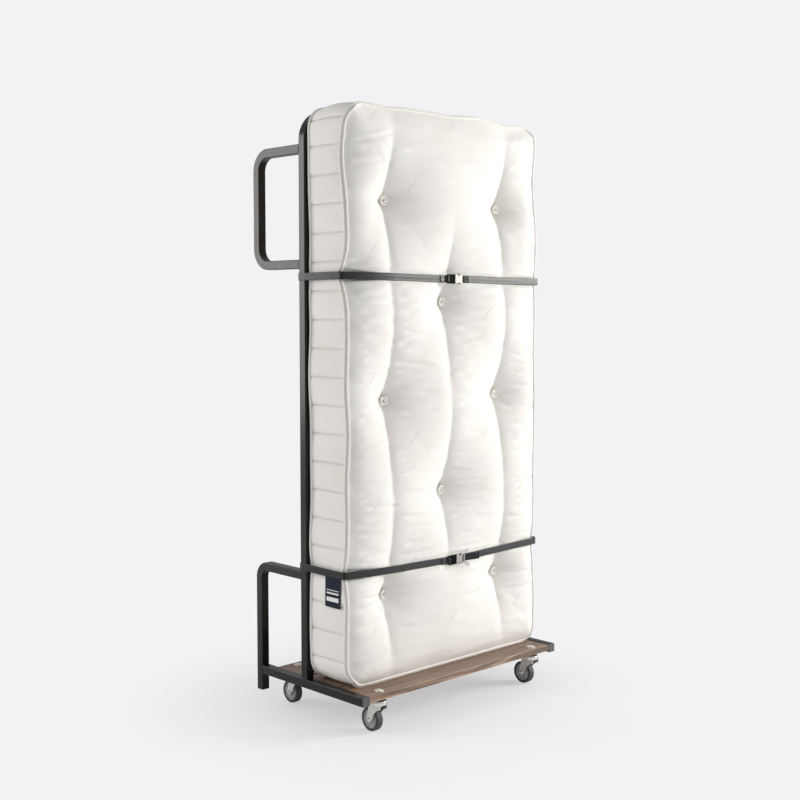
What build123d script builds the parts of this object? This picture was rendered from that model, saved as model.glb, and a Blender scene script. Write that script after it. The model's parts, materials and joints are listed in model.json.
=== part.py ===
"""Mobile guest bed, stored upright: a steel bed frame on a castor base, with its mattress strapped on.

Millimetres. +Z is up, +Y is the back, where the legs are, and the origin is on the floor under the middle.
Standing as here, the bed rolls on its castors. Tipped onto its back, it stands on the four legs' long runs.
"""

from build123d import *
import os
from math import cos, hypot, radians, sin

# Overall
WIDTH = 960.0  # over the two sides of the frame
DEPTH = 552.0  # front of the base rails to the back of the legs
HALF_W = WIDTH / 2
FRONT = -DEPTH / 2
BACK = DEPTH / 2

# Square steel tube
TUBE = 30.0
WALL = 1.5
TUBE_CORNER = 2.5
SIDE_X = HALF_W - TUBE / 2  # centre of every side tube
INNER_X = HALF_W - TUBE

# Castors
WHEEL_R = 40.0
WHEEL_W = 25.0
TRAIL = 32.0
CASTOR_X = 382.0
EDGE_TO_BOLT = 32.0
BOLT_R = 5.0
RUNNING = 0.05  # radial clearance of a running fit

# Base
RAIL_TOP = 141.0
RAIL_BOTTOM = RAIL_TOP - TUBE
PLANK_TOP = 139.0
PLANK_T = 20.0
PLANK_BOTTOM = PLANK_TOP - PLANK_T
PLANK_GAP = 14.0
PLANKS_BACK = 201.0
PLANKS_FRONT = FRONT + 1.0
PLANK_W = (PLANKS_BACK - PLANKS_FRONT - 2 * PLANK_GAP) / 3
CAP_T = 3.0  # flange of a tube end cap
LEDGE_W = 24.0  # steel flats under the planks' ends
LEDGE_T = 4.0
LEDGE_L = 64.0

# Castors' forks, under the planks
CUP_TOP = PLANK_BOTTOM - 10.0
CUP_BOTTOM = CUP_TOP - 4.5
CROWN_TOP = CUP_BOTTOM - 6.0
CROWN_T = 2.5
CROWN_R = 25.0
LEG_GAP = 31.0  # between the fork's legs
LEG_T = 2.5
AXLE_R = 4.0
BALL_R = 2.7
BALL_RING = 15.5
BALLS = 12
BORE_LIFT = 0.3  # clearance above and below what turns

# Hoop that carries the mattress
POST_FRONT = 4.0
POST_BACK = POST_FRONT + TUBE
POST_Y = POST_FRONT + TUBE / 2
HOOP_TOP = 2028.0
HOOP_BEND = 85.0  # bend radius on the tube's centreline

# Legs, behind the hoop
HEAD_LEG_TOP = 1916.0
HEAD_LEG_BOTTOM = 1511.0
HEAD_LEG_BEND = 58.0
FOOT_LEG_TOP = 507.0
FOOT_LEG_END = 53.0
FOOT_LEG_BEND = 42.0

# Slats
SLAT_COUNT = 14
SLAT_PITCH = 125.0
SLAT_Z0 = 255.0
SLAT_W = 60.0
SLAT_T = 8.0
SLAT_Y = 12.0
HOLDER = (26.0, 18.0, 68.0)
CROSS_T = 20.0

# Mattress
MATTRESS_X = 463.0  # half width to the middle of the piping
MATTRESS_BOTTOM = 144.0
MATTRESS_TOP = 2033.0
MATTRESS_FRONT = -184.0
PIPING_R = 4.5
TOP_CORNER = 90.0
BOTTOM_CORNER = 94.0
COVER_T = 4.0
FILLING_T = 18.0
STRING_COUNT = 14
TUFT_X = 275.0
TUFT_ROWS = (425.0, 750.0, 1075.0, 1404.0, 1734.0)
TUFT_R = 10.0

# Straps and buckles
WEB_T = 2.0
WEB_W = 25.0
WEB_FRONT = MATTRESS_FRONT - 4.0  # inner face of a strap's front run
SIDE_BREAK = WEB_FRONT + 14.0  # where a strap's side run starts
STRAPS = {
    # name: heights of the strap's middle at the posts, left corner, buckle and right corner
    "upper": (1485.0, 1486.0, 1482.0, 1479.0),
    "lower": (522.0, 518.0, 508.0, 517.0),
}
BUCKLE_SHIFTS = {"upper": -11.0, "lower": 0.0}  # along the strap
STRAP_TAILS = {"upper": (36.0, 0.0), "lower": (86.0, 1.6)}  # length, and droop in degrees
BUCKLE_X = 31.0  # where the plug meets the socket
PLUG_L = 35.0
PLUG_HALF = 16.0
SOCKET_L = 35.0
SOCKET_HALF = 17.0
BUCKLE_T = 9.0
BUCKLE_Y = WEB_FRONT - WEB_T - 0.5 - BUCKLE_T / 2
CAVITY_T = 5.4
CAVITY_HALF = 13.0
PRONG_T = 4.0
PRONG_Z = 9.0  # prong's pivot, above and below the buckle's middle
PRONG_X = BUCKLE_X - 2.5
PRONG_L = 27.0
PIVOT_R = 1.5


def box(x, y, z):
    """A box from three (low, high) pairs."""
    return Pos((x[0] + x[1]) / 2, (y[0] + y[1]) / 2, (z[0] + z[1]) / 2) * Box(
        x[1] - x[0], y[1] - y[0], z[1] - z[0]
    )


def disc(x, y, z, radius, hole=0.0):
    """An upright disc or ring at (x, y) between two heights."""
    outline = Circle(radius) - Circle(hole) if hole else Circle(radius)
    return Pos(x, y, z[0]) * extrude(outline, z[1] - z[0])


def both_sides(part):
    return {"left": part, "right": mirror(part, Plane.YZ)}


def save(name, *solids):
    """Writes one node: its solids stay apart in the file."""
    found = [s for part in solids for s in part.solids()]
    shape = found[0] if len(found) == 1 else Compound(children=found)
    export_step(shape, f"parts/{name}.step")


# ---------------------------------------------------------------- tubes


def tube_along(points, bend, x_dir):
    """Square tube along a bent path, open at both ends."""
    path = FilletPolyline(*points, radius=bend) if bend else Polyline(*points)
    start = Plane(origin=path @ 0, x_dir=x_dir, z_dir=path % 0)
    inside = TUBE - 2 * WALL
    outer = sweep(start * RectangleRounded(TUBE, TUBE, TUBE_CORNER), path=path)
    inner = sweep(
        start * RectangleRounded(inside, inside, TUBE_CORNER - WALL), path=path
    )
    return outer - inner


def straight_tube(centre, length, axis, height=TUBE, width=TUBE):
    """Straight hollow bar, its width across and its height along Z unless it stands upright."""
    plane = Plane(
        origin=centre, x_dir=(0, 1, 0) if axis == (1, 0, 0) else (1, 0, 0), z_dir=axis
    )
    section = RectangleRounded(width, height, TUBE_CORNER) - RectangleRounded(
        width - 2 * WALL, height - 2 * WALL, TUBE_CORNER - WALL
    )
    return extrude(plane * section, length)


def hoop():
    """Two posts and the head bar, bent from one length of tube."""
    top = HOOP_TOP - TUBE / 2
    points = [
        (-SIDE_X, POST_Y, RAIL_TOP),
        (-SIDE_X, POST_Y, top),
        (SIDE_X, POST_Y, top),
        (SIDE_X, POST_Y, RAIL_TOP),
    ]
    return lengths(tube_along(points, HOOP_BEND, (1, 0, 0)))


def lengths(bent):
    """The hoop as touching lengths: two posts, the head bar, and three to each bend."""
    x, z = SIDE_X - HOOP_BEND, HOOP_TOP - TUBE / 2 - HOOP_BEND
    far, deep = 2 * HALF_W, (POST_FRONT - 5, POST_BACK + 5)
    parts = [bent & box((-x, x), deep, (z, z + far))]
    for side in (-1, 1):
        parts.append(bent & box(sorted((0, side * far)), deep, (0, z)))
        for turn in (0, 30, 60):
            ends = [(side * far * cos(a), far * sin(a)) for a in (radians(turn), radians(turn + 30))]
            wedge = make_face(Polyline((0, 0), *ends, close=True))
            centre = Plane(origin=(side * x, POST_Y, z), x_dir=(1, 0, 0), z_dir=(0, -1, 0))
            parts.append(bent & extrude(centre * wedge, TUBE, both=True))
    return parts


def head_leg():
    """Closed loop behind the post at the head: a handle upright, a leg lying down."""
    run, top, bottom = (
        BACK - TUBE / 2,
        HEAD_LEG_TOP - TUBE / 2,
        HEAD_LEG_BOTTOM + TUBE / 2,
    )
    points = [
        (-SIDE_X, POST_BACK, top),
        (-SIDE_X, run, top),
        (-SIDE_X, run, bottom),
        (-SIDE_X, POST_BACK, bottom),
    ]
    return tube_along(points, HEAD_LEG_BEND, (1, 0, 0))


def foot_leg():
    """Bent leg at the foot, which runs down past the base rail."""
    run, top = BACK - TUBE / 2, FOOT_LEG_TOP - TUBE / 2
    points = [
        (-SIDE_X, POST_BACK, top),
        (-SIDE_X, run, top),
        (-SIDE_X, run, FOOT_LEG_END + CAP_T),
    ]
    return tube_along(points, FOOT_LEG_BEND, (1, 0, 0))


def end_cap():
    """Plastic plug for a tube's end, its flange on the outside, pointing along +Z from the flange."""
    inside = TUBE - 2 * WALL
    flange = extrude(RectangleRounded(TUBE, TUBE, TUBE_CORNER), CAP_T)
    flange = chamfer(flange.faces().sort_by(Axis.Z)[0].edges(), 1.0)
    plug = Pos(0, 0, CAP_T) * extrude(
        RectangleRounded(inside, inside, TUBE_CORNER - WALL), 16
    )
    hollow = Pos(0, 0, CAP_T + 2) * Box(
        inside - 5, inside - 5, 20, align=(Align.CENTER, Align.CENTER, Align.MIN)
    )
    return flange + plug - hollow


def frame():
    save("main_hoop", *hoop())
    rail_length = BACK - TUBE - (FRONT + CAP_T)
    rail = straight_tube(
        (-SIDE_X, FRONT + CAP_T, RAIL_TOP - TUBE / 2), rail_length, (0, 1, 0)
    )
    for part, make in (
        ("base_rail", rail),
        ("head_leg", head_leg()),
        ("foot_leg", foot_leg()),
    ):
        for side, solid in both_sides(make).items():
            save(f"{side}_{part}", solid)
    caps = []
    for x in (-SIDE_X, SIDE_X):
        rail_end = Plane(
            origin=(x, FRONT, RAIL_TOP - TUBE / 2), x_dir=(1, 0, 0), z_dir=(0, 1, 0)
        )
        caps.append(rail_end * end_cap())
        caps.append(Pos(x, BACK - TUBE / 2, FOOT_LEG_END) * end_cap())
    save("tube_end_caps", *caps)
    foot_z, middle_z = RAIL_TOP + 34.0, SLAT_Z0 + 6.5 * SLAT_PITCH
    save(
        "foot_cross_rail",
        straight_tube((-INNER_X, POST_Y, foot_z), 2 * INNER_X, (1, 0, 0)),
    )
    middle_y = POST_BACK - CROSS_T / 2
    save(
        "middle_cross_rail",
        straight_tube(
            (-INNER_X, middle_y, middle_z), 2 * INNER_X, (1, 0, 0), width=CROSS_T
        ),
    )


# ---------------------------------------------------------------- base


def plank_span(index):
    low = PLANKS_FRONT + index * (PLANK_W + PLANK_GAP)
    return low, low + PLANK_W


def castor_spots():
    """Name and swivel axis of each castor: front or rear, left or right."""
    rows = {"front": PLANKS_FRONT - 1 + EDGE_TO_BOLT, "rear": PLANKS_BACK - EDGE_TO_BOLT}
    return {
        f"{row}_{side}": (sign * CASTOR_X, y)
        for row, y in rows.items()
        for side, sign in (("left", -1), ("right", 1))
    }


def plank(index):
    """Board between the rails, with its top edges eased and holes for what bolts through it."""
    low, high = plank_span(index)
    board = box((-INNER_X + 0.5, INNER_X - 0.5), (low, high), (PLANK_BOTTOM, PLANK_TOP))
    long_edges = board.edges().filter_by(Axis.X)
    board = fillet(long_edges.group_by(Axis.Z)[-1], 2.0)
    for x, y in castor_spots().values():
        if low < y < high:
            board -= disc(x, y, (PLANK_BOTTOM - 1, PLANK_TOP + 1), BOLT_R)
    for x, y in ledge_spots(index):
        board -= disc(x, y, (PLANK_BOTTOM - 1, PLANK_BOTTOM + 14), 2.0)
    return board


def ledge_spots(index):
    """Screw holes of one plank: two through each ledge."""
    low, high = plank_span(index)
    middle = (low + high) / 2
    x = INNER_X - LEDGE_W / 2
    return [(s * x, middle + d) for s in (-1, 1) for d in (-20.0, 20.0)]


def ledge(side, index):
    """Steel flat welded to a rail's inner face, under a plank's end."""
    low, high = plank_span(index)
    middle = (low + high) / 2
    xs = sorted((side * INNER_X, side * (INNER_X - LEDGE_W)))
    flat = box(
        xs,
        (middle - LEDGE_L / 2, middle + LEDGE_L / 2),
        (PLANK_BOTTOM - LEDGE_T, PLANK_BOTTOM),
    )
    for x, y in ledge_spots(index):
        flat -= disc(x, y, (PLANK_BOTTOM - LEDGE_T - 1, PLANK_BOTTOM + 1), 2.0)
    return flat


def plank_screw(x, y):
    head_z = PLANK_BOTTOM - LEDGE_T
    shank = disc(x, y, (head_z, PLANK_BOTTOM + 14), 2.0)
    head = Pos(x, y, head_z) * (Sphere(4.2) & Pos(0, 0, -2.1) * Box(10, 10, 4.2))
    return shank + head


def base():
    for index, name in enumerate(("front_plank", "middle_plank", "rear_plank")):
        save(name, plank(index))
    save("plank_ledges", *[ledge(s, i) for s in (-1, 1) for i in range(3)])
    save("plank_screws", *[plank_screw(x, y) for i in range(3) for x, y in ledge_spots(i)])


# ---------------------------------------------------------------- slats


def slat_heights():
    return [SLAT_Z0 + i * SLAT_PITCH for i in range(SLAT_COUNT)]


def slats():
    reach = INNER_X - 5.0
    boards, holders = [], []
    for z in slat_heights():
        board = box(
            (-reach, reach),
            (SLAT_Y - SLAT_T / 2, SLAT_Y + SLAT_T / 2),
            (z - SLAT_W / 2, z + SLAT_W / 2),
        )
        board = fillet(board.edges().filter_by(Axis.X), 2.0)
        boards.append(board)
        for side in (-1, 1):
            xs = sorted((side * INNER_X, side * (INNER_X - HOLDER[0])))
            cup = box(
                xs,
                (5.0, 5.0 + HOLDER[1]),
                (z - HOLDER[2] / 2, z + HOLDER[2] / 2),
            )
            cup = fillet(cup.edges().filter_by(Axis.X), 3.0)
            holders.append(cup - board)
    save("bed_slats", *boards)
    save("slat_holders", *holders)


# ---------------------------------------------------------------- castors


def castor_fork(x, y):
    """Pressed fork: a crown that turns on the bolt, and two legs down to the axle."""
    boss = (TRAIL, WHEEL_R)
    top = Pos(2.0, CROWN_TOP - 8.0) * Rectangle(50, 16)
    cheek = make_hull((top + Pos(*boss) * Circle(10)).edges())
    cheek -= Pos(-33.0, 38.0) * Circle(46)
    cheek -= Pos(*boss) * Circle(AXLE_R)
    plane = Plane(origin=(0, 0, 0), x_dir=(0, 1, 0), z_dir=(1, 0, 0))
    leg = extrude(plane * cheek, LEG_T)
    inner = LEG_GAP / 2
    crown = disc(0, 0, (CROWN_TOP - CROWN_T, CROWN_TOP), CROWN_R)
    rim = disc(0, 0, (CROWN_TOP, CUP_BOTTOM - BORE_LIFT), CROWN_R, CROWN_R - LEG_T)
    fork = crown + rim + Pos(inner, 0, 0) * leg + Pos(-inner - LEG_T, 0, 0) * leg
    fork -= disc(0, 0, (0, CUP_TOP), BOLT_R + RUNNING)
    return Pos(x, y, 0) * fork


def axle(x, y):
    """Button-head bolt through the fork's legs, and its nut, as two solids."""
    reach = LEG_GAP / 2 + LEG_T
    plane = Plane(origin=(x - reach, y + TRAIL, WHEEL_R), x_dir=(0, 1, 0), z_dir=(1, 0, 0))
    shank = extrude(plane * Circle(AXLE_R), 2 * reach + 7)
    head = plane * (Pos(0, 0, 2.0) * Sphere(8.0) & Pos(0, 0, -2.25) * Box(20, 20, 4.5))
    socket = plane * (Pos(0, 0, -6.2) * extrude(RegularPolygon(2.6, 6), 4.0))
    nut_face = Plane(
        origin=(x + reach, y + TRAIL, WHEEL_R), x_dir=(0, 1, 0), z_dir=(1, 0, 0)
    )
    nut = extrude(nut_face * (RegularPolygon(7.5, 6) - Circle(AXLE_R)), 6)
    return shank + head - socket, nut


def spun(outline, x, y):
    """Solid of revolution about a castor's axle, from an outline of (along, radius)."""
    face = make_face(Polyline(*outline, close=True))
    turned = revolve(face, Axis.X, 360)
    return Pos(x, y + TRAIL, WHEEL_R) * turned


def tyre(x, y):
    half, shoulder = WHEEL_W / 2, 4.0
    inner = WHEEL_R - 10.0
    ring = spun(
        [(-half, inner), (half, inner), (half, WHEEL_R), (-half, WHEEL_R)], x, y
    )
    rims = [e for e in ring.edges() if e.geom_type == GeomType.CIRCLE]
    return fillet([e for e in rims if abs(e.radius - WHEEL_R) < 0.01], shoulder)


def hub(x, y):
    """Moulded wheel centre: a rim flush inside the tyre, a sunk groove and a boss each side."""
    rim, groove, boss = WHEEL_R - 10.0, WHEEL_R - 16.0, 10.0
    face, sunk = WHEEL_W / 2 - 1.5, WHEEL_W / 2 - 4.0
    long = LEG_GAP / 2 - BORE_LIFT
    bore = AXLE_R + RUNNING
    half = [
        (long, bore),
        (long, boss),
        (sunk, boss + 3),
        (sunk, groove),
        (face, groove + 2),
        (face, rim),
    ]
    mirrored = [(-a, r) for a, r in reversed(half)]
    return spun(half + mirrored, x, y)


def castor_fixings(x, y):
    """What holds a castor and doesn't turn with it."""
    bolt = disc(x, y, (CROWN_TOP - CROWN_T - 11.5, PLANK_TOP + 2), BOLT_R)
    dome = Pos(x, y, PLANK_TOP - 6) * Sphere(12.5)
    bolt += dome & disc(x, y, (PLANK_TOP + 2, PLANK_TOP + 8), 10)
    washer = disc(x, y, (PLANK_TOP, PLANK_TOP + 2), 16, BOLT_R)
    spacer = disc(x, y, (CUP_TOP, PLANK_BOTTOM), 22, BOLT_R)
    cup = disc(x, y, (CUP_BOTTOM, CUP_TOP), CROWN_R, BOLT_R)
    cup = fillet(cup.edges().filter_by(GeomType.CIRCLE).sort_by(SortBy.RADIUS)[-2:], 1.5)
    nut_top = CROWN_TOP - CROWN_T - BORE_LIFT
    nut = Pos(x, y, nut_top - 9) * extrude(RegularPolygon(9.5, 6) - Circle(BOLT_R), 9)
    balls = [
        Pos(
            x + BALL_RING * cos(radians(360 / BALLS * i)),
            y + BALL_RING * sin(radians(360 / BALLS * i)),
            (CUP_BOTTOM + CROWN_TOP) / 2,
        )
        * Sphere(BALL_R)
        for i in range(BALLS)
    ]
    return {
        "castor_bolts": [bolt],
        "castor_washers": [washer],
        "castor_spacers": [spacer],
        "castor_top_cups": [cup],
        "castor_nuts": [nut],
        "castor_bearing_balls": balls,
    }


def castors():
    fixings = {}
    for name, (x, y) in castor_spots().items():
        save(f"{name}_fork", castor_fork(x, y))
        save(f"{name}_axle", *axle(x, y))
        save(f"{name}_hub", hub(x, y))
        save(f"{name}_tyre", tyre(x, y))
        for node, solids in castor_fixings(x, y).items():
            fixings.setdefault(node, []).extend(solids)
    for node, solids in fixings.items():
        save(node, *solids)


# ---------------------------------------------------------------- mattress


def mattress_outline(inset=0.0):
    """Face of the mattress in X and Z, its lower corners rounder than its upper ones."""
    low, high = MATTRESS_BOTTOM + inset, MATTRESS_TOP - inset
    half = MATTRESS_X - inset
    face = Pos(0, (low + high) / 2) * Rectangle(2 * half, high - low)
    corners = face.vertices().group_by(Axis.Y)
    face = fillet(corners[0], BOTTOM_CORNER - inset)
    return fillet(face.vertices().group_by(Axis.Y)[-1], TOP_CORNER - inset)


def mattress_slab(inset, front, back):
    """Upright slab with the mattress's outline, between two depths."""
    plane = Plane(origin=(0, back, 0), x_dir=(1, 0, 0), z_dir=(0, -1, 0))
    return extrude(plane * mattress_outline(inset), back - front)


def piping(y):
    """Round cord sewn along one edge of the mattress."""
    plane = Plane(origin=(0, y, 0), x_dir=(1, 0, 0), z_dir=(0, -1, 0))
    path = (plane * mattress_outline()).wires()[0]
    start = Plane(origin=path @ 0, z_dir=path % 0)
    return sweep(start * Circle(PIPING_R), path=path)


def tufts():
    """Felt washers of the tufting cords, on both faces, two and one to a row by turns."""
    found = []
    for row, z in enumerate(TUFT_ROWS):
        for x in (0.0,) if row % 2 else (-TUFT_X, TUFT_X):
            for y, depth in ((MATTRESS_FRONT, -3.0), (POST_FRONT - 0.5, 3.0)):
                plane = Plane(origin=(x, y, z), z_dir=(0, 1, 0))
                found.append(extrude(plane * Circle(TUFT_R), depth))
    return found


def mattress():
    back = POST_FRONT - 0.5
    body = mattress_slab(1.0, MATTRESS_FRONT, back)
    front_cord = piping(MATTRESS_FRONT + PIPING_R)
    rear_cord = piping(back - PIPING_R)
    cavity = mattress_slab(1.0 + COVER_T, MATTRESS_FRONT + COVER_T, back - COVER_T)
    save("mattress_cover", body - cavity - front_cord - rear_cord)
    save("mattress_piping", front_cord, rear_cord)
    inset = 14.0
    front, rear = MATTRESS_FRONT + COVER_T, back - COVER_T
    save("mattress_front_filling", mattress_slab(inset, front, front + FILLING_T))
    save("mattress_rear_filling", mattress_slab(inset, rear - FILLING_T, rear))
    save("mattress_spring_strings", *spring_strings(front + FILLING_T, rear - FILLING_T))
    save("mattress_tufts", *tufts())
    side = -MATTRESS_X + 1.0
    save("mattress_label", box((side - 1.2, side), (-157, -82), (408, 528)))


def spring_strings(front, rear):
    """Rows of pocketed springs, each row as one long hollow pocket."""
    pitch = (2 * MATTRESS_X - 2 * BOTTOM_CORNER + 100) / STRING_COUNT
    width, wall = pitch - 2.0, 1.2
    depth = rear - front
    low, high = MATTRESS_BOTTOM + 60, MATTRESS_TOP - 60
    found = []
    for i in range(STRING_COUNT):
        x = (i - (STRING_COUNT - 1) / 2) * pitch
        section = RectangleRounded(width, depth, 20) - RectangleRounded(
            width - 2 * wall, depth - 2 * wall, 20 - wall
        )
        found.append(Pos(x, (front + rear) / 2, low) * extrude(section, high - low))
    return found


# ---------------------------------------------------------------- straps


def strap_plan():
    """Plan of a strap: round the back of the posts, over their sides and round the mattress."""
    gap = 0.3
    side, rear = HALF_W + gap, POST_BACK + gap
    corner_x, corner_y = MATTRESS_X + PIPING_R + gap + 0.5, WEB_FRONT
    slant = hypot(side - corner_x, POST_FRONT - corner_y)
    shift = WEB_T * (side - corner_x) / slant
    inner = Polygon(
        (-side, POST_FRONT),
        (-corner_x, corner_y),
        (corner_x, corner_y),
        (side, POST_FRONT),
        (side, rear),
        (-side, rear),
        align=None,
    )
    outer = Polygon(
        (-side - WEB_T, POST_FRONT - shift),
        (-corner_x - WEB_T, corner_y - WEB_T),
        (corner_x + WEB_T, corner_y - WEB_T),
        (side + WEB_T, POST_FRONT - shift),
        (side + WEB_T, rear + WEB_T),
        (-side - WEB_T, rear + WEB_T),
        align=None,
    )
    front = outer.vertices().group_by(Axis.Y)[0]
    inner_front = inner.vertices().group_by(Axis.Y)[0]
    return fillet(front, 10.0) - fillet(inner_front, 10.0 - WEB_T)


def band(points, plane, reach):
    """Wall of the webbing's width about a line of (along, height), as thick as reach."""
    half = WEB_W / 2
    upper = [(a, h + half) for a, h in points]
    lower = [(a, h - half) for a, h in reversed(points)]
    return extrude(plane * make_face(Polyline(*upper, *lower, close=True)), reach)


def strap(heights, gap):
    """Webbing loop, open on the front between gap's two ends, as its rear run and its two halves."""
    post, left, middle, right = heights
    far = HALF_W + 20
    wall = Pos(0, 0, post - 60) * extrude(strap_plan(), 120)
    facing = Plane(origin=(0, SIDE_BREAK, 0), x_dir=(1, 0, 0), z_dir=(0, -1, 0))
    corner = MATTRESS_X - 12
    line = [(-far, left), (-corner, left), (gap[0], middle), (gap[1], middle)]
    line += [(corner, right), (far, right)]
    front = wall & band(line, facing, 60)
    front -= box(gap, (WEB_FRONT - 5, WEB_FRONT + 5), (post - 60, post + 60))
    found = front
    for start, height in ((0, left), (far, right)):
        sideways = Plane(origin=(start, 0, 0), x_dir=(0, -1, 0), z_dir=(-1, 0, 0))
        run = [(-SIDE_BREAK, height), (-POST_FRONT, post), (-POST_BACK - 10, post)]
        found = found + (wall & band(run, sideways, far))
    around = (post - 60, post + 60)
    ahead = (WEB_FRONT - 20, POST_BACK)
    opening = sum(gap) / 2
    rear = found & box((-far, far), (POST_BACK, POST_BACK + 20), around)
    return rear, found & box((-far, opening), ahead, around), found & box((opening, far), ahead, around)


def fold(x, direction, reach, droop=0.0):
    """End of a strap, from a buckle's slot at x over its bar and back along the strap."""
    face, web = BUCKLE_Y - 3.7, WEB_FRONT - WEB_T - 0.5
    t = 1.6
    line = [
        (0.0, web - 2.0),
        (0.0, face),
        (8.0, face),
        (14.0, web),
        (reach, web),
        (reach, web - t),
        (13.2, web - t),
        (7.4, face - t),
        (-t, face - t),
        (-t, web - 2.0),
    ]
    points = [(x + direction * a, y) for a, y in line]
    end = extrude(make_face(Polyline(*points, close=True)), WEB_W / 2, both=True)
    return Pos(x, 0, 0) * Rot(0, droop, 0) * Pos(-x, 0, 0) * end


def socket():
    """Metal half of a buckle: a flat case, notched at its edges, with a bar for the webbing."""
    left, right = BUCKLE_X, BUCKLE_X + SOCKET_L
    half_t = BUCKLE_T / 2
    case = box(
        (left, right),
        (BUCKLE_Y - half_t, BUCKLE_Y + half_t),
        (-SOCKET_HALF, SOCKET_HALF),
    )
    case = fillet(case.edges().filter_by(Axis.X), 2.5)
    case = fillet(case.faces().sort_by(Axis.X)[0].outer_wire().edges(), 0.8)
    case -= box(
        (left - 1, right - 6),
        (BUCKLE_Y - CAVITY_T / 2, BUCKLE_Y + CAVITY_T / 2),
        (-CAVITY_HALF, CAVITY_HALF),
    )
    for sign in (-1, 1):
        zs = sorted((sign * 12.2, sign * (SOCKET_HALF + 1)))
        case -= box((left + 12, left + 23), (BUCKLE_Y - 9, BUCKLE_Y + 9), zs)
    bar = box((right, right + 10), (BUCKLE_Y - 2.5, BUCKLE_Y + 2.5), (-15, 15))
    bar = fillet(bar.edges().filter_by(Axis.Z), 1.5)
    slot = box((right + 1, right + 5), (BUCKLE_Y - 9, BUCKLE_Y + 9), (-12.8, 12.8))
    return case + bar - slot


def plug():
    """Plastic half of a buckle: a slotted end for the webbing and a guide between the prongs."""
    left, right = BUCKLE_X - PLUG_L, BUCKLE_X - 0.5
    body = box(
        (left, right),
        (BUCKLE_Y - 3.5, BUCKLE_Y + 3.5),
        (-PLUG_HALF, PLUG_HALF),
    )
    body = fillet(body.edges().filter_by(Axis.Z), 2.0)
    body -= box((left + 5, left + 9), (BUCKLE_Y - 9, BUCKLE_Y + 9), (-12.8, 12.8))
    guide = box(
        (right - 1, BUCKLE_X + 20),
        (BUCKLE_Y - PRONG_T / 2, BUCKLE_Y + PRONG_T / 2),
        (-3, 3),
    )
    body += guide
    for sign in (-1, 1):
        seat = Plane(
            origin=(PRONG_X, BUCKLE_Y + 9, sign * PRONG_Z), z_dir=(0, -1, 0)
        )
        body -= extrude(seat * Circle(PIVOT_R + RUNNING), 18)
        zs = sorted((sign * (PRONG_Z - 3.6), sign * (PRONG_Z + 2.4)))
        body -= box((PRONG_X + 0.4, right + 1), (BUCKLE_Y - 9, BUCKLE_Y + 9), zs)
    return body


def prong(sign):
    """Springy arm of the plug, with the pad that the fingers press."""
    plane = Plane(
        origin=(PRONG_X, BUCKLE_Y + PRONG_T / 2, sign * PRONG_Z),
        x_dir=(1, 0, 0),
        z_dir=(0, -1, 0),
    )
    arm = Pos(PRONG_L / 2, 0) * Rectangle(PRONG_L, 2.0)
    pad_low, pad_high = -0.6, CAVITY_HALF - PRONG_Z - 0.4
    pad = Pos(PRONG_L - 6.0, (pad_low + pad_high) / 2) * Rectangle(
        11.0, pad_high - pad_low
    )
    if sign < 0:
        pad = mirror(pad, Plane.XZ)
    shape = arm + pad + Circle(PIVOT_R)
    return extrude(plane * shape, PRONG_T)


def straps():
    tails = []
    for name, heights in STRAPS.items():
        shift = BUCKLE_SHIFTS[name]
        at = Pos(shift, 0, heights[2])
        gap = (BUCKLE_X - PLUG_L + 5 + shift, BUCKLE_X + SOCKET_L + 5 + shift)
        save(f"{name}_strap", *strap(heights, gap))
        save(f"{name}_buckle_socket", at * socket())
        save(f"{name}_buckle_plug", at * plug())
        save(f"{name}_buckle_top_prong", at * prong(1))
        save(f"{name}_buckle_bottom_prong", at * prong(-1))
        save(f"{name}_strap_keeper", at * fold(BUCKLE_X - PLUG_L + 6.2, -1, 36))
        reach, droop = STRAP_TAILS[name]
        tails.append(at * fold(BUCKLE_X + SOCKET_L + 3.8, 1, reach, droop))
    save("strap_tails", *tails)


def main():
    os.makedirs("parts", exist_ok=True)
    frame()
    base()
    slats()
    castors()
    mattress()
    straps()


main()
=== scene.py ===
"""Looks of the mobile guest bed round its CAD frame: mattress, straps, welds, materials and studio."""

import json
import math

import bpy
import numpy as np
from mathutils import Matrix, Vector


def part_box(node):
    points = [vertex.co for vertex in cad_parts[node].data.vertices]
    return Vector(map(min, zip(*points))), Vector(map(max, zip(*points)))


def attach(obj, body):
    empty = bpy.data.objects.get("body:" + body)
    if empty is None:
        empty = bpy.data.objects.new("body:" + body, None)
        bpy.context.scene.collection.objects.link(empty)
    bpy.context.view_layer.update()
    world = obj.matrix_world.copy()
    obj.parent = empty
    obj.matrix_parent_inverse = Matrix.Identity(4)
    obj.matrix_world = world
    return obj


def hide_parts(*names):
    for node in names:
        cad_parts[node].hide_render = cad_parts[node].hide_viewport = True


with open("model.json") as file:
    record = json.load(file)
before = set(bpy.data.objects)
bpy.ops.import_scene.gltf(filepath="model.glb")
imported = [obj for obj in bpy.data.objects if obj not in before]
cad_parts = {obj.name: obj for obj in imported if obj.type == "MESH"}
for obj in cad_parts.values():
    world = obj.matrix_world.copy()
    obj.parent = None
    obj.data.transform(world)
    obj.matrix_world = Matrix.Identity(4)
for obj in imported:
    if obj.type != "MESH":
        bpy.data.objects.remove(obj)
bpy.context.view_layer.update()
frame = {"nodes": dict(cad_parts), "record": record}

MM = 0.001
BODY = "bed"  # the body that everything but the castors and buckles rides on
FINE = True

# ------------ studio

BACKDROP = (0.888, 0.888, 0.905)
FLOOR = (0.90, 0.90, 0.905)
FLOOR_REACH = 60.0
AMBIENT = 0.47

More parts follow.
